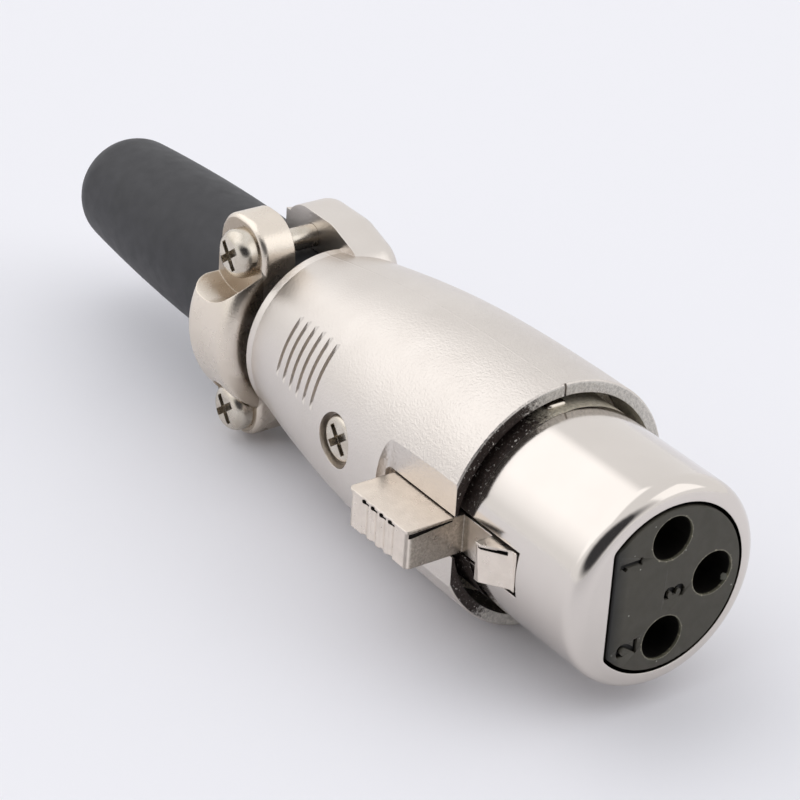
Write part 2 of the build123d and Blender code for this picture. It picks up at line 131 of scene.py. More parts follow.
def ramp(tree, factor, stops):
    node = tree.nodes.new("ShaderNodeValToRGB")
    for element, (place, colour) in zip(node.color_ramp.elements, stops):
        element.position = place
        element.color = colour + (1.0,)
    link(tree, factor, node.inputs["Fac"])
    return node.outputs["Color"]


def mottled(tree, place, size, detail, dark, light, lightFrom=0.7):
    return ramp(tree, noise(tree, place, size, detail), [(0.3, dark), (lightFrom, light)])


def spread(tree, value, low, high, toLow, toHigh):
    node = tree.nodes.new("ShaderNodeMapRange")
    for name, number in (("From Min", low), ("From Max", high), ("To Min", toLow), ("To Max", toHigh)):
        node.inputs[name].default_value = number
    link(tree, value, node.inputs["Value"])
    return node.outputs["Result"]


def rise(tree, value, low, high, top=1.0):
    return spread(tree, value, low, high, 0, top)


def fall(tree, value, low, high, top=1.0):
    return spread(tree, value, low, high, top, 0)


def uneven(tree, place, size, detail, low, high):
    return spread(tree, noise(tree, place, size, detail), 0.3, 0.7, low, high)


def calc(tree, operation, first, second=0):
    node = tree.nodes.new("ShaderNodeMath")
    node.operation = operation
    fill(tree, node.inputs[0], first)
    fill(tree, node.inputs[1], second)
    return node.outputs["Value"]


def times(tree, first, *others):
    for other in others:
        first = calc(tree, "MULTIPLY", first, other)
    return first


def plus(tree, first, *others):
    for other in others:
        first = calc(tree, "ADD", first, other)
    return first


def mixColour(tree, factor, first, second):
    node = tree.nodes.new("ShaderNodeMix")
    node.data_type = "RGBA"
    link(tree, factor, node.inputs["Factor"])
    fill(tree, node.inputs[6], first)
    fill(tree, node.inputs[7], second)
    return node.outputs[2]


def mixValue(tree, factor, first, second):
    node = tree.nodes.new("ShaderNodeMix")
    link(tree, factor, node.inputs["Factor"])
    fill(tree, node.inputs[2], first)
    fill(tree, node.inputs[3], second)
    return node.outputs[0]


def bump(tree, height, depth, under=None):
    node = tree.nodes.new("ShaderNodeBump")
    node.inputs["Strength"].default_value = 1.0
    node.inputs["Distance"].default_value = depth
    link(tree, height, node.inputs["Height"])
    if under is not None:
        link(tree, under, node.inputs["Normal"])
    return node.outputs["Normal"]


def softEdges(tree, radius):
    node = tree.nodes.new("ShaderNodeBevel")
    node.samples = 6
    node.inputs["Radius"].default_value = radius
    return node.outputs["Normal"]


def coat(tree, shader, colour, roughness, normal):
    link(tree, colour, shader.inputs["Base Color"])
    link(tree, roughness, shader.inputs["Roughness"])
    link(tree, normal, shader.inputs["Normal"])


# rough casting that the plating hardly reaches: painted shade makes it dark on the latch side, pale on the
# other
rawLook = {"dark": (0.018, 0.012, 0.011), "brown": (0.060, 0.042, 0.034), "grain": 0.22 * mm,
           "wave": 0.3 * mm, "waveReach": 6 * mm, "underside": -0.45,
           "glint": (0.85, 0.81, 0.75), "speck": 0.20 * mm, "speckFrom": 0.60, "speckTo": 0.66,
           "cluster": 0.9 * mm, "clusterFrom": 0.46, "clusterTo": 0.56,
           "depth": 0.05 * mm, "metal": 0.35, "matt": 0.45}


# painted shade up to shadedUpTo and plain pale casting from litFrom on, counted from the latch side
def rawCasting(tree, place, shadedUpTo, litFrom, ash, pale):
    fine = noise(tree, place, rawLook["grain"], 4, 0.7)
    under = calc(tree, "MAXIMUM", times(tree, along(tree, "Z"), rawLook["underside"]), 0)
    wave = calc(tree, "SUBTRACT", noise(tree, place, rawLook["wave"], 5, 0.7), 0.5)
    towardLit = plus(tree, along(tree, "Y"), under, times(tree, wave, rawLook["waveReach"]))
    # painted glints: pale specks in clusters over the raw casting
    specks = rise(tree, noise(tree, place, rawLook["speck"], 2, 0.6),
                  rawLook["speckFrom"], rawLook["speckTo"])
    cluster = spread(tree, noise(tree, place, rawLook["cluster"], 2),
                     rawLook["clusterFrom"], rawLook["clusterTo"], 0.1, 0.9)
    dark = ramp(tree, fine, [(0.3, rawLook["dark"]), (0.7, rawLook["brown"])])
    light = ramp(tree, fine, [(0.3, ash), (0.6, pale)])
    # painted shade: dark casting on the latch side, blended into the pale casting away from it
    plain = mixColour(tree, rise(tree, towardLit, shadedUpTo, litFrom), dark, light)
    return mixColour(tree, times(tree, specks, cluster), plain, rawLook["glint"]), fine


# bead blasted nickel on the die-cast shell, raw on the front of the rim and inside the mouth, where painted
# shade darkens the latch side
def makeSatinNickel():
    look = {"dark": (0.675, 0.626, 0.578), "light": (0.720, 0.671, 0.622), "patch": 5 * mm,
            "soft": 0.29, "matt": 0.36, "polish": 2 * mm, "edge": 0.08 * mm,
            "grain": 0.19 * mm, "grainDepth": 0.026 * mm, "rearX": -32 * mm, "rearGrain": 0.7,
            "frontX": -17 * mm, "frontGrain": 2.4, "rim": -12.24 * mm, "mouth": 8.65 * mm,
            "mouthEnd": -17 * mm, "sharp": 0.02 * mm, "ash": (0.45, 0.43, 0.40), "pale": (0.74, 0.71, 0.66),
            "rimShadedUpTo": -3.4 * mm, "rimLitFrom": -2.0 * mm, "wallShadedUpTo": 3.0 * mm, "wallLitFrom": 5.0 * mm,
            "seamY": -0.3 * mm, "seamFrom": 0.03 * mm, "seamTo": 0.10 * mm, "seamHeight": 0.5}
    material, tree, shader = newMaterial("satinNickel")
    place = objectPlace(tree)
    x = along(tree, "X")
    rim = rise(tree, x, look["rim"] - look["sharp"], look["rim"] + look["sharp"])
    inside = fall(tree, axisDistance(tree), look["mouth"] - look["sharp"], look["mouth"] + look["sharp"])
    inside = times(tree, inside, rise(tree, x, look["mouthEnd"], look["mouthEnd"] + mm))
    raw = calc(tree, "MAXIMUM", rim, inside)
    # the rim's front and the mouth's wall take painted shade on the latch side from rawCasting
    rimColour, rawGrain = rawCasting(tree, place, look["rimShadedUpTo"], look["rimLitFrom"], look["ash"], look["pale"])
    wallColour = rawCasting(tree, place, look["wallShadedUpTo"], look["wallLitFrom"], look["ash"], look["pale"])[0]
    plain = mottled(tree, place, look["patch"], 4, look["dark"], look["light"])
    colour = mixColour(tree, raw, plain, mixColour(tree, rim, wallColour, rimColour))
    polish = uneven(tree, place, look["polish"], 4, look["soft"], look["matt"])
    strength = spread(tree, x, look["rearX"], look["frontX"], look["rearGrain"], look["frontGrain"])
    grain = plus(tree, times(tree, noise(tree, place, look["grain"], 2, 0.6), strength),
                 times(tree, raw, rawGrain))
    fromSeam = calc(tree, "ABSOLUTE", calc(tree, "SUBTRACT", along(tree, "Y"), look["seamY"]))
    seam = times(tree, fall(tree, fromSeam, look["seamFrom"], look["seamTo"], look["seamHeight"]),
                 rise(tree, along(tree, "Z"), 0, mm))
    normal = bump(tree, plus(tree, grain, seam), look["grainDepth"], softEdges(tree, look["edge"]))
    coat(tree, shader, colour, mixValue(tree, raw, polish, rawLook["matt"]), normal)
    link(tree, mixValue(tree, raw, 1.0, rawLook["metal"]), shader.inputs["Metallic"])
    return material


# the same casting by the cable clamp, yellower, with painted shade in the hollows round the two screw heads
def makeClampNickel():
    look = {"dark": (0.72, 0.645, 0.555), "light": (0.79, 0.715, 0.625), "patch": 3 * mm,
            "soft": 0.24, "matt": 0.32, "polish": 1.5 * mm, "edge": 0.12 * mm,
            "grain": 0.19 * mm, "grainDepth": 0.010 * mm, "shade": (0.42, 0.355, 0.285),
            "screwX": -44.6 * mm, "screwZ": 6.55 * mm, "reachFrom": 4.5 * mm, "reachTo": 5.0 * mm,
            "wallInside": 7.85 * mm, "wallOutside": 8.08 * mm, "wallTop": -7.6 * mm, "wallShaded": -6.2 * mm,
            "headFloor": -5.0 * mm, "floorFrom": 0.03 * mm, "floorTo": 0.06 * mm, "sharp": 0.05 * mm}
    material, tree, shader = newMaterial("clampNickel")
    place = objectPlace(tree)
    y = along(tree, "Y")
    upper = distanceFrom(tree, (look["screwX"], 0, look["screwZ"]), (1, 0, 1))
    lower = distanceFrom(tree, (look["screwX"], 0, -look["screwZ"]), (1, 0, 1))
    nearHead = fall(tree, calc(tree, "MINIMUM", upper, lower), look["reachFrom"], look["reachTo"])
    wall = times(tree, fall(tree, axisDistance(tree), look["wallInside"], look["wallOutside"]),
                 fall(tree, y, look["headFloor"], look["headFloor"] + look["sharp"]),
                 rise(tree, y, look["wallTop"], look["wallShaded"]))
    fromFloor = calc(tree, "ABSOLUTE", calc(tree, "SUBTRACT", y, look["headFloor"]))
    flat = fall(tree, fromFloor, look["floorFrom"], look["floorTo"])
    # painted shade in the hollows round the screw heads, on their walls and floors
    hollowShade = times(tree, calc(tree, "MAXIMUM", wall, flat), nearHead)
    plain = mottled(tree, place, look["patch"], 4, look["dark"], look["light"])
    grain = noise(tree, place, look["grain"], 2, 0.6)
    coat(tree, shader, mixColour(tree, hollowShade, plain, look["shade"]),
         uneven(tree, place, look["polish"], 4, look["soft"], look["matt"]),
         bump(tree, grain, look["grainDepth"], softEdges(tree, look["edge"])))
    shader.inputs["Metallic"].default_value = 1.0
    return material


# bright plated barrel, with faint turning marks round the axis and a raw root in the shell's mouth that has
# painted shade on its latch side
def makePolishedNickel():
    look = {"dark": (0.680, 0.632, 0.585), "light": (0.715, 0.667, 0.620), "patch": 6 * mm,
            "clear": 0.10, "hazy": 0.15, "marks": 3 * mm, "marksScale": (9, 0.35, 0.35), "edge": 0.08 * mm,
            "rootFrom": -11.34 * mm, "rootTo": -11.28 * mm, "ragged": 0.22 * mm, "raggedSize": 0.9 * mm,
            "keyTop": 7.95 * mm, "sharp": 0.02 * mm, "rawLevel": 1.5,
            "ash": (0.42, 0.38, 0.30), "pale": (0.68, 0.62, 0.50), "rootShadedUpTo": -2.8 * mm, "rootLitFrom": -1.2 * mm}
    material, tree, shader = newMaterial("polishedNickel")
    place = objectPlace(tree)
    ragged = times(tree, noise(tree, place, look["raggedSize"], 4), look["ragged"])
    raw = times(tree, fall(tree, plus(tree, along(tree, "X"), ragged), look["rootFrom"], look["rootTo"]),
                fall(tree, along(tree, "Z"), look["keyTop"] - look["sharp"], look["keyTop"]))
    # the raw root takes painted shade on the latch side from rawCasting
    rawColour, rawGrain = rawCasting(tree, place, look["rootShadedUpTo"], look["rootLitFrom"], look["ash"], look["pale"])
    plain = mottled(tree, place, look["patch"], 4, look["dark"], look["light"])
    marks = noise(tree, objectPlace(tree, scale=look["marksScale"]), look["marks"], 5)
    polish = spread(tree, marks, 0.35, 0.7, look["clear"], look["hazy"])
    height = times(tree, raw, calc(tree, "SUBTRACT", rawGrain, look["rawLevel"]))
    coat(tree, shader, mixColour(tree, raw, plain, rawColour), mixValue(tree, raw, polish, rawLook["matt"]),
         bump(tree, height, rawLook["depth"], softEdges(tree, look["edge"])))
    link(tree, mixValue(tree, raw, 1.0, rawLook["metal"]), shader.inputs["Metallic"])
    return material


# the latch, with painted shade on the narrow front of its tab
def makeCastNickel():
    look = {"dark": (0.74, 0.665, 0.585), "light": (0.83, 0.75, 0.665), "patch": 0.8 * mm,
            "soft": 0.26, "matt": 0.36, "polish": 0.6 * mm, "edge": 0.12 * mm,
            "grain": 0.15 * mm, "grainDepth": 0.018 * mm, "shade": (0.36, 0.32, 0.27), "shadeGrain": 0.2 * mm,
            "frontFrom": -12.42 * mm, "frontFull": -12.36 * mm,
            "frontFade": -11.9 * mm, "frontTo": -11.6 * mm}
    material, tree, shader = newMaterial("castNickel")
    place = objectPlace(tree)
    x = along(tree, "X")
    # painted shade on the narrow front of the tab, patchy and fading towards the hook
    patchy = spread(tree, noise(tree, place, look["shadeGrain"], 3, 0.7), 0.35, 0.6, 0.6, 1.0)
    frontShade = times(tree, rise(tree, x, look["frontFrom"], look["frontFull"]),
                  fall(tree, x, look["frontFade"], look["frontTo"]), patchy)
    plain = mottled(tree, place, look["patch"], 4, look["dark"], look["light"])
    grain = noise(tree, place, look["grain"], 3)
    coat(tree, shader, mixColour(tree, frontShade, plain, look["shade"]),
         uneven(tree, place, look["polish"], 4, look["soft"], look["matt"]),
         bump(tree, grain, look["grainDepth"], softEdges(tree, look["edge"])))
    shader.inputs["Metallic"].default_value = 1.0
    return material


# painted shade: near-black metal for the walls of the hollows under the lip of the latch
def makeShadedCasting():
    look = {"dark": (0.010, 0.008, 0.007), "light": (0.030, 0.024, 0.020), "patch": 0.2 * mm,
            "soft": 0.55, "matt": 0.75, "polish": 0.3 * mm}
    material, tree, shader = newMaterial("shadedCasting")
    place = objectPlace(tree)
    plain = mottled(tree, place, look["patch"], 3, look["dark"], look["light"])
    link(tree, plain, shader.inputs["Base Color"])
    link(tree, uneven(tree, place, look["polish"], 3, look["soft"], look["matt"]), shader.inputs["Roughness"])
    shader.inputs["Specular IOR Level"].default_value = 0.2
    return material


# contact holes as (y, z), the numbers' height and depth and their middles as (y, z), in millimetres;
# strokes add the flag and the foot to the 1 as (middle, length, angle)
insertFace = {"holes": ((0, 3.88), (0, -3.88), (3.88, 0)), "holeRadius": 1.68,
              "numbers": {"1": (-3.32, 2.92), "3": (0.78, -0.45), "2": (-2.92, -3.78)},
              "height": 1.66, "depth": 0.22, "bold": 0.065, "capitalShare": 0.7, "curveSteps": 5,
              "strokes": {"1": (((-0.19, 0.60), 0.52, 47), ((0, -0.78), 0.60, 0))}, "stroke": 0.24,
              "frontEnd": -1.66, "outlineFrom": 5.9, "flatY": -4.4, "shift": (0.11, -0.09)}


# dark insert: dusty, paler round its holes with painted glints on their rims, with painted shade by the flat
# and painted shade that makes it black inside the holes
def makeOlivePlastic():
    look = {"dark": (0.055, 0.050, 0.036), "light": (0.066, 0.060, 0.045), "patch": 1.2 * mm,
            "dust": (0.34, 0.34, 0.29), "dustPitch": 1.0 * mm, "dustFrom": 0.045, "dustTo": 0.075,
            "paleRing": (0.20, 0.19, 0.14), "paleRingFrom": 0.11 * mm, "paleRingTo": 0.17 * mm, "paleRingShare": 0.8,
            "ragged": 0.16 * mm, "raggedSize": 0.35 * mm,
            "rimGlint": (0.36, 0.33, 0.24), "rimGlintFrom": 0.14 * mm, "rimGlintTo": 0.22 * mm, "rimGlintSize": 0.28 * mm,
            "rimGlintHere": (0.56, 0.62),
            "corner": (0.005, 0.005, 0.003), "flatShadeFrom": -4.70 * mm, "flatShadeTo": -3.45 * mm,
            "deep": (0.006, 0.005, 0.004), "deepFrom": -0.26 * mm, "deepTo": -0.12 * mm,
            "lineFrom": -4.54 * mm, "lineTo": -4.46 * mm, "lineWave": 0.08 * mm, "lineSize": 0.4 * mm,
            "holeGlint": (-0.3 * mm, 5.27 * mm, -0.9 * mm), "holeGlintFrom": 0.36 * mm, "holeGlintTo": 0.44 * mm,
            "holeGlintRagged": 0.3 * mm, "holeGlintRaggedSize": 0.3 * mm,
            "soft": 0.42, "matt": 0.55, "polish": 0.8 * mm, "grain": 0.2 * mm, "grainDepth": 0.004 * mm}
    material, tree, shader = newMaterial("olivePlastic")
    place = objectPlace(tree)
    x, y = along(tree, "X"), along(tree, "Y")
    colour = mottled(tree, place, look["patch"], 5, look["dark"], look["light"], 0.75)
    specks = fall(tree, cells(tree, place, look["dustPitch"]), look["dustFrom"], look["dustTo"])
    colour = mixColour(tree, specks, colour, look["dust"])
    nearest = axisDistance(tree, *(v * mm for v in insertFace["holes"][0]))
    for holeY, holeZ in insertFace["holes"][1:]:
        nearest = calc(tree, "MINIMUM", nearest, axisDistance(tree, holeY * mm, holeZ * mm))
    ragged = times(tree, noise(tree, place, look["raggedSize"], 3, 0.7), look["ragged"])
    fromHole = plus(tree, nearest, ragged, -insertFace["holeRadius"] * mm)
    # a paler ragged ring round each hole's edge
    paleRing = fall(tree, fromHole, look["paleRingFrom"], look["paleRingTo"], look["paleRingShare"])
    colour = mixColour(tree, paleRing, colour, look["paleRing"])
    # painted glints: pale flecks on the rims of the holes
    rimGlint = times(tree, fall(tree, fromHole, look["rimGlintFrom"], look["rimGlintTo"]),
                 rise(tree, noise(tree, place, look["rimGlintSize"], 2, 0.7), *look["rimGlintHere"]))
    colour = mixColour(tree, rimGlint, colour, look["rimGlint"])
    # painted shade: the face gets darker towards its flat side
    colour = mixColour(tree, fall(tree, y, look["flatShadeFrom"], look["flatShadeTo"]), colour, look["corner"])
    # painted shadow: a ragged black line along the face near the flat
    shadowLine = plus(tree, y, times(tree, noise(tree, place, look["lineSize"], 3), look["lineWave"]))
    colour = mixColour(tree, fall(tree, shadowLine, look["lineFrom"], look["lineTo"]), colour, look["deep"])
    # painted shade: black on everything set back from the face, inside the holes and the sunk numbers
    colour = mixColour(tree, fall(tree, x, look["deepFrom"], look["deepTo"]), colour, look["deep"])
    # a painted glint on the wall of one hole
    holeGlint = plus(tree, distanceFrom(tree, look["holeGlint"]),
                times(tree, noise(tree, place, look["holeGlintRaggedSize"], 2, 0.7), look["holeGlintRagged"]))
    colour = mixColour(tree, fall(tree, holeGlint, look["holeGlintFrom"], look["holeGlintTo"]), colour, look["dust"])
    coat(tree, shader, colour, uneven(tree, place, look["polish"], 4, look["soft"], look["matt"]),
         bump(tree, noise(tree, place, look["grain"], 2), look["grainDepth"]))
    shader.inputs["Specular IOR Level"].default_value = 0.4
    return material


def makeBlackRubber():
    look = {"dark": (0.032, 0.032, 0.035), "light": (0.041, 0.041, 0.045), "patch": 2.5 * mm,
            "soft": 0.50, "matt": 0.60, "polish": 1.1 * mm, "grain": 0.25 * mm, "grainDepth": 0.004 * mm}
    material, tree, shader = newMaterial("blackRubber")
    place = objectPlace(tree)
    coat(tree, shader, mottled(tree, place, look["patch"], 5, look["dark"], look["light"], 0.75),
         uneven(tree, place, look["polish"], 4, look["soft"], look["matt"]),
         bump(tree, noise(tree, place, look["grain"], 3), look["grainDepth"]))
    shader.inputs["Specular IOR Level"].default_value = 0.4
    return material


# plating on the screws and contacts
def makePlate(name, dark, light):
    look = {"patch": 1.1 * mm, "soft": 0.18, "matt": 0.32, "polish": 0.7 * mm, "edge": 0.08 * mm}
    material, tree, shader = newMaterial(name)
    place = objectPlace(tree)
    coat(tree, shader, mottled(tree, place, look["patch"], 4, dark, light),
         uneven(tree, place, look["polish"], 4, look["soft"], look["matt"]), softEdges(tree, look["edge"]))
    shader.inputs["Metallic"].default_value = 1.0
    return material


satinNickel = makeSatinNickel()
polishedNickel = makePolishedNickel()
clampNickel = makeClampNickel()
castNickel = makeCastNickel()
shadedCasting = makeShadedCasting()
olivePlastic = makeOlivePlastic()
blackRubber = makeBlackRubber()
contactPlate = makePlate("contactPlate", (0.55, 0.47, 0.33), (0.70, 0.62, 0.46))
screwPlate = makePlate("screwPlate", (0.56, 0.50, 0.42), (0.70, 0.65, 0.57))

finishes = {
    "shell": satinNickel, "clamp_strap": clampNickel, "clamp_screws": screwPlate, "insert_screw": screwPlate,
    "nose_barrel": polishedNickel, "latch_lever": castNickel, "latch_pivot_pin": polishedNickel,
    "latch_spring": polishedNickel, "insert": olivePlastic, "contact_retainer": olivePlastic,
    "contact_1": contactPlate, "contact_2": contactPlate, "contact_3": contactPlate, "boot": blackRubber,
}
for name, material in finishes.items():
    mesh = nodes[name].data
    mesh.materials.clear()
    mesh.materials.append(material)
print("materials set")


# small helpers for pieces
def selectOnly(piece):
    bpy.ops.object.select_all(action="DESELECT")
    piece.select_set(True)
    bpy.context.view_layer.objects.active = piece


# selects the mesh's vertices that test says yes to
def pickVertices(piece, test):
    selectOnly(piece)
    bpy.ops.object.mode_set(mode="EDIT")
    bpy.ops.mesh.select_all(action="DESELECT")
    bpy.ops.object.mode_set(mode="OBJECT")
    for vertex in piece.data.vertices:
        vertex.select = test(vertex.co)


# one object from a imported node, with its loose triangles joined
def copyOfNode(node, name):
    piece = bpy.data.objects.new(name, nodes[node].data.copy())
    bpy.context.scene.collection.objects.link(piece)
    selectOnly(piece)
    bpy.ops.object.mode_set(mode="EDIT")
    bpy.ops.mesh.select_all(action="SELECT")
    bpy.ops.mesh.remove_doubles(threshold=0.001 * mm)
    bpy.ops.object.mode_set(mode="OBJECT")
    return piece


def newCube(location=(0, 0, 0)):
    bpy.ops.object.select_all(action="DESELECT")
    bpy.ops.mesh.primitive_cube_add(size=1, location=location)
    return bpy.context.object


# large faces stay flat and only the small roundings are shaded smooth
def smoothRoundings(piece, angle=30):
    selectOnly(piece)
    bpy.ops.object.shade_smooth_by_angle(angle=math.radians(angle))
    bpy.ops.object.modifier_add(type="WEIGHTED_NORMAL")
    weighted = piece.modifiers[-1]
    weighted.keep_sharp = True
    weighted.weight = 100
    bpy.ops.object.modifier_apply(modifier=weighted.name)


# the cut walls keep the cutter's own material
def cutAway(piece, cutter, material):
    cutter.data.materials.append(material)
    selectOnly(piece)
    cut = piece.modifiers.new("cut", "BOOLEAN")
    cut.operation = "DIFFERENCE"
    cut.solver = "EXACT"
    cut.material_mode = "TRANSFER"
    cut.use_self = True
    cut.object = cutter
    bpy.ops.object.modifier_apply(modifier="cut")
    bpy.data.objects.remove(cutter)


# the tops of the numbers point to the latch side, and they read from in front
def onFace(y, z, faceX):
    turn = Matrix(((0, 0, 1), (0, -1, 0), (1, 0, 0))).to_4x4()
    return Matrix.Translation((faceX, y * mm, z * mm)) @ turn @ Matrix.Scale(mm, 4)


def strokeCutter(middle, length, angle, place):
    stroke = newCube()
    depth = 2 * (insertFace["depth"] + insertFace["bold"])
    turn = Matrix.Rotation(math.radians(angle), 4, "Z")
    size = Matrix.Diagonal((length, insertFace["stroke"], depth, 1))
    stroke.data.transform(place @ Matrix.Translation((*middle, 0)) @ turn @ size)
    return stroke


def numberCutter(digit, place):
    bpy.ops.object.select_all(action="DESELECT")
    bpy.ops.object.text_add(location=(0, 0, 0))
    text = bpy.context.object.data
    text.body = digit
    text.align_x = "CENTER"
    text.align_y = "CENTER"
    text.resolution_u = insertFace["curveSteps"]
    text.size = insertFace["height"] / insertFace["capitalShare"]
    text.extrude = insertFace["depth"]
    bpy.ops.object.convert(target="MESH")
    cutter = bpy.context.object
    bpy.ops.object.mode_set(mode="EDIT")
    bpy.ops.mesh.select_all(action="SELECT")
    bpy.ops.mesh.remove_doubles(threshold=0.001)
    bpy.ops.mesh.dissolve_limited(angle_limit=math.radians(1))
    bpy.ops.mesh.normals_make_consistent(inside=False)
    bpy.ops.transform.shrink_fatten(value=insertFace["bold"], use_even_offset=True)
    bpy.ops.object.mode_set(mode="OBJECT")
    cutter.data.transform(place)
    return cutter


# insert with its three contact numbers sunk into the face, its front a little off centre in the barrel
def makeInsert():
    insert = copyOfNode("insert", "insertBody")
    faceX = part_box("insert")[1].x
    pickVertices(insert, lambda co: (co.x > insertFace["frontEnd"] * mm and co.y > insertFace["flatY"] * mm
                                     and math.hypot(co.y, co.z) > insertFace["outlineFrom"] * mm))
    bpy.ops.object.mode_set(mode="EDIT")
    bpy.ops.transform.translate(value=(0, insertFace["shift"][0] * mm, insertFace["shift"][1] * mm))
    bpy.ops.object.mode_set(mode="OBJECT")
    for digit, (y, z) in insertFace["numbers"].items():
        place = onFace(y, z, faceX)
        cutAway(insert, numberCutter(digit, place), olivePlastic)
        for middle, length, angle in insertFace["strokes"].get(digit, ()):
            cutAway(insert, strokeCutter(middle, length, angle, place), olivePlastic)
    smoothRoundings(insert)
    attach(insert, "plug")
    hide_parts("insert")


# latch with hollows under the lip of its tab and hook, walled with the near-black painted shade of
# shadedCasting; in millimetres and degrees
latchHollows = {"grooves": (-14.33, -15.35, -16.37, -17.39), "grooveY": -12.34, "grooveZ": 1.10,
                "grooveSize": (0.40, 0.40, 0.26), "grooveSides": 24, "grooveRings": 12,
                "frontFrom": (-12.35, -12.22), "frontTo": (-12.35, -8.7), "frontTop": 1.32,
                "frontTall": 0.46, "frontShort": 0.10, "frontDeep": 0.16,
                "hookFrom": (-9.0, -9.02), "hookTo": (-7.25, -7.80), "hookTop": 1.38,
                "hookTall": 0.30, "hookDeep": 0.16, "smoothUpTo": 19}


def grooveHollow(x):
    at = latchHollows
    bpy.ops.object.select_all(action="DESELECT")
    bpy.ops.mesh.primitive_uv_sphere_add(segments=at["grooveSides"], ring_count=at["grooveRings"],
                                         radius=mm, location=(0, 0, 0))
    ball = bpy.context.object
    middle = Matrix.Translation((x * mm, at["grooveY"] * mm, at["grooveZ"] * mm))
    ball.data.transform(middle @ Matrix.Diagonal((*at["grooveSize"], 1)))
    return ball


# a bar from start to end, as (x, y), hanging down from top and getting lower on the way
def hollowWedge(start, end, top, tallStart, tallEnd, depth):
    wedge = newCube((0.5, 0, -0.5))
    bpy.ops.object.transform_apply(location=True)
    pickVertices(wedge, lambda co: co.x > 0.5)
    bpy.ops.object.mode_set(mode="EDIT")
    bpy.ops.transform.resize(value=(1, 1, tallEnd / tallStart), center_override=(0.5, 0, 0))
    bpy.ops.object.mode_set(mode="OBJECT")
    run = Vector(end) - Vector(start)
    turn = Matrix.Rotation(math.atan2(run.y, run.x), 4, "Z")
    size = Matrix.Diagonal((run.length, 2 * depth, tallStart, 1))
    wedge.data.transform(Matrix.Scale(mm, 4) @ Matrix.Translation((*start, top)) @ turn @ size)
    return wedge


def makeLatch():
    at = latchHollows
    latch = copyOfNode("latch_lever", "latchBody")
    for x in at["grooves"]:
        cutAway(latch, grooveHollow(x), shadedCasting)
    frontShade = hollowWedge(at["frontFrom"], at["frontTo"], at["frontTop"],
                        at["frontTall"], at["frontShort"], at["frontDeep"])
    cutAway(latch, frontShade, shadedCasting)
    hook = hollowWedge(at["hookFrom"], at["hookTo"], at["hookTop"],
                       at["hookTall"], at["hookTall"], at["hookDeep"])
    cutAway(latch, hook, shadedCasting)
    smoothRoundings(latch, at["smoothUpTo"])
    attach(latch, "latch")
    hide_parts("latch_lever")


# the spring's travel when the tab is pressed and its gap to its floor, in millimetres, and the angle up to
# which it is shaded smooth, in degrees
springPress = {"tabTravel": 0.56, "floorGap": 0.03, "smoothUpTo": 40}


def makeSpring():
    spring = copyOfNode("latch_spring", "springCoil")
    smoothRoundings(spring, springPress["smoothUpTo"])
    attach(spring, "plug")
    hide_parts("latch_spring")
    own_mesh(spring)


# polished front end of the barrel's locating key, just inside the shell's mouth, sizes in millimetres
keyEnd = {"from": -13.9, "to": -12.2, "width": 1.6, "y": -0.5, "foot": 7.5, "top": 8.17, "round": 0.3,
          "steps": 5}


def makeKeyEnd():
    key = newCube()
    key.name = "keyEnd"
    middle = Vector(((keyEnd["from"] + keyEnd["to"]) / 2, keyEnd["y"], (keyEnd["foot"] + keyEnd["top"]) / 2))
    size = (keyEnd["to"] - keyEnd["from"], keyEnd["width"], keyEnd["top"] - keyEnd["foot"])
    key.data.transform(Matrix.Scale(mm, 4) @ Matrix.Translation(middle) @ Matrix.Diagonal((*size, 1)))
    for edge in key.data.edges:
        ends = [key.data.vertices[i].co / mm - middle for i in edge.vertices]
        inFront = all(end.x > 0 for end in ends)
        onTop = all(end.z > 0 for end in ends)
        upright = abs(ends[0].y - ends[1].y) < 0.01
        edge.select = inFront and (onTop or upright)
    bpy.ops.object.mode_set(mode="EDIT")
    bpy.ops.mesh.select_mode(type="EDGE")
    bpy.ops.mesh.bevel(offset=keyEnd["round"] * mm, segments=keyEnd["steps"])
    bpy.ops.mesh.select_mode(type="VERT")
    bpy.ops.object.mode_set(mode="OBJECT")
    key.data.materials.append(screwPlate)
    smoothRoundings(key)
    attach(key, "plug")


makeInsert()
makeLatch()
makeSpring()
makeKeyEnd()
print("insert, latch, spring and key made")

paleFloor = {"size": 3.0, "colour": (0.872, 0.872, 0.910, 1), "roughness": 0.4, "specular": 0.15}


def makeFloor():
    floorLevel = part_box("shell")[0].z
    bpy.ops.object.select_all(action="DESELECT")
    bpy.ops.mesh.primitive_plane_add(size=paleFloor["size"], location=(0, 0, floorLevel))
    floor = bpy.context.object
    floor.name = "floor"
    material, tree, shader = newMaterial("paleFloor")
    shader.inputs["Base Color"].default_value = paleFloor["colour"]
    shader.inputs["Roughness"].default_value = paleFloor["roughness"]
    shader.inputs["Specular IOR Level"].default_value = paleFloor["specular"]
    floor.data.materials.append(material)


# the light tent is white all round, with a soft-edged bright panel behind the latch side and a dark
# opening on the side that the camera looks in from; angles in degrees, the panel's edges as slopes
tent = {"white": (0.985, 0.985, 1.0), "strength": 0.98, "dark": (0.05, 0.05, 0.055),
        "openingAzimuth": -35, "openingHeight": 26, "halfWidth": 48, "halfHeight": 25,
        "openingAhead": (0.0, 0.1), "openingEdge": (0.8, 1.15)}
panel = {"azimuth": -147, "height": 47, "glow": 0.52, "right": (0.54, 0.72), "left": (-0.80, -0.62),
         "bottom": (-0.81, -0.31), "top": (0.60, 0.75), "ahead": (0.02, 0.05)}
# glow is how much brighter the side lamp is than the tent behind it
sideBox = {"azimuth": 44, "height": 32, "distance": 1.5, "size": (0.95, 1.0), "glow": 0.45}


def direction(azimuth, height):
    a, h = math.radians(azimuth), math.radians(height)
    return Vector((math.cos(h) * math.cos(a), math.cos(h) * math.sin(a), math.sin(h)))


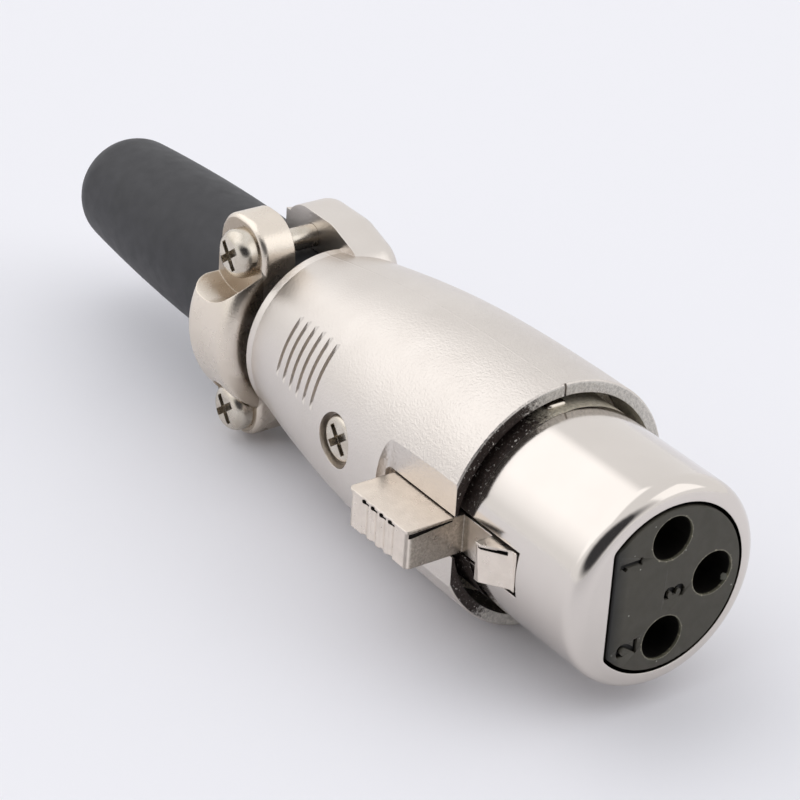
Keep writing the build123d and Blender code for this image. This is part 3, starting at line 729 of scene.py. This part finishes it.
def share(tree, vector, axis):
    node = tree.nodes.new("ShaderNodeVectorMath")
    node.operation = "DOT_PRODUCT"
    link(tree, vector, node.inputs[0])
    node.inputs[1].default_value = axis
    return node.outputs["Value"]


def panelShare(tree, look):
    azimuth, height = panel["azimuth"], panel["height"]
    ahead = share(tree, look, direction(azimuth, height))
    across = calc(tree, "DIVIDE", share(tree, look, direction(azimuth - 90, 0)), ahead)
    upwards = calc(tree, "DIVIDE", share(tree, look, direction(azimuth, height + 90)), ahead)
    return times(tree, rise(tree, ahead, *panel["ahead"]),
                 fall(tree, across, *panel["right"]), rise(tree, across, *panel["left"]),
                 rise(tree, upwards, *panel["bottom"]), fall(tree, upwards, *panel["top"]))


def openingShare(tree, look):
    azimuth, height = tent["openingAzimuth"], tent["openingHeight"]
    acrossAxis = direction(azimuth + 90, 0) / math.sin(math.radians(tent["halfWidth"]))
    upAxis = direction(azimuth, height + 90) / math.sin(math.radians(tent["halfHeight"]))
    across, upwards = share(tree, look, acrossAxis), share(tree, look, upAxis)
    ahead = rise(tree, share(tree, look, direction(azimuth, height)), *tent["openingAhead"])
    offset = calc(tree, "SQRT", plus(tree, times(tree, across, across), times(tree, upwards, upwards)))
    return times(tree, ahead, fall(tree, offset, *tent["openingEdge"]))


def makeTent():
    world = bpy.data.worlds.new("tent")
    bpy.context.scene.world = world
    world.use_nodes = True
    tree = world.node_tree
    background = tree.nodes["Background"]
    look = tree.nodes.new("ShaderNodeTexCoord").outputs["Generated"]
    colour = mixColour(tree, openingShare(tree, look), tent["white"], tent["dark"])
    strength = spread(tree, panelShare(tree, look), 0, 1, tent["strength"], tent["strength"] + panel["glow"])
    link(tree, colour, background.inputs["Color"])
    link(tree, strength, background.inputs["Strength"])


def makeSideBox():
    lamp = bpy.data.lights.new("sideBox", "AREA")
    lamp.shape = "RECTANGLE"
    lamp.size, lamp.size_y = sideBox["size"]
    lamp.energy = sideBox["glow"] * math.pi * lamp.size * lamp.size_y
    holder = bpy.data.objects.new("sideBox", lamp)
    bpy.context.scene.collection.objects.link(holder)
    aim = direction(sideBox["azimuth"], sideBox["height"])
    holder.location = (cadBounds[0] + cadBounds[1]) / 2 + aim * sideBox["distance"]
    holder.rotation_euler = aim.to_track_quat("Z", "Y").to_euler()


makeFloor()
makeTent()
makeSideBox()
print("stage and light set")

# turn in degrees, lens and sensor in millimetres, the rest in metres
cameraSettings = {"place": (0.11815, -0.11072, 0.10240), "turn": (60.873, -3.165, 55.144), "lens": 129.71,
                  "sensor": 36.0, "nearest": 0.01}


def makeCamera():
    camera = bpy.data.cameras.new("camera")
    camera.lens = cameraSettings["lens"]
    camera.sensor_width = cameraSettings["sensor"]
    camera.clip_start = cameraSettings["nearest"]
    holder = bpy.data.objects.new("camera", camera)
    bpy.context.scene.collection.objects.link(holder)
    holder.location = cameraSettings["place"]
    holder.rotation_euler = [math.radians(v) for v in cameraSettings["turn"]]
    bpy.context.scene.camera = holder


makeCamera()
bpy.context.scene.view_settings.view_transform = "Standard"
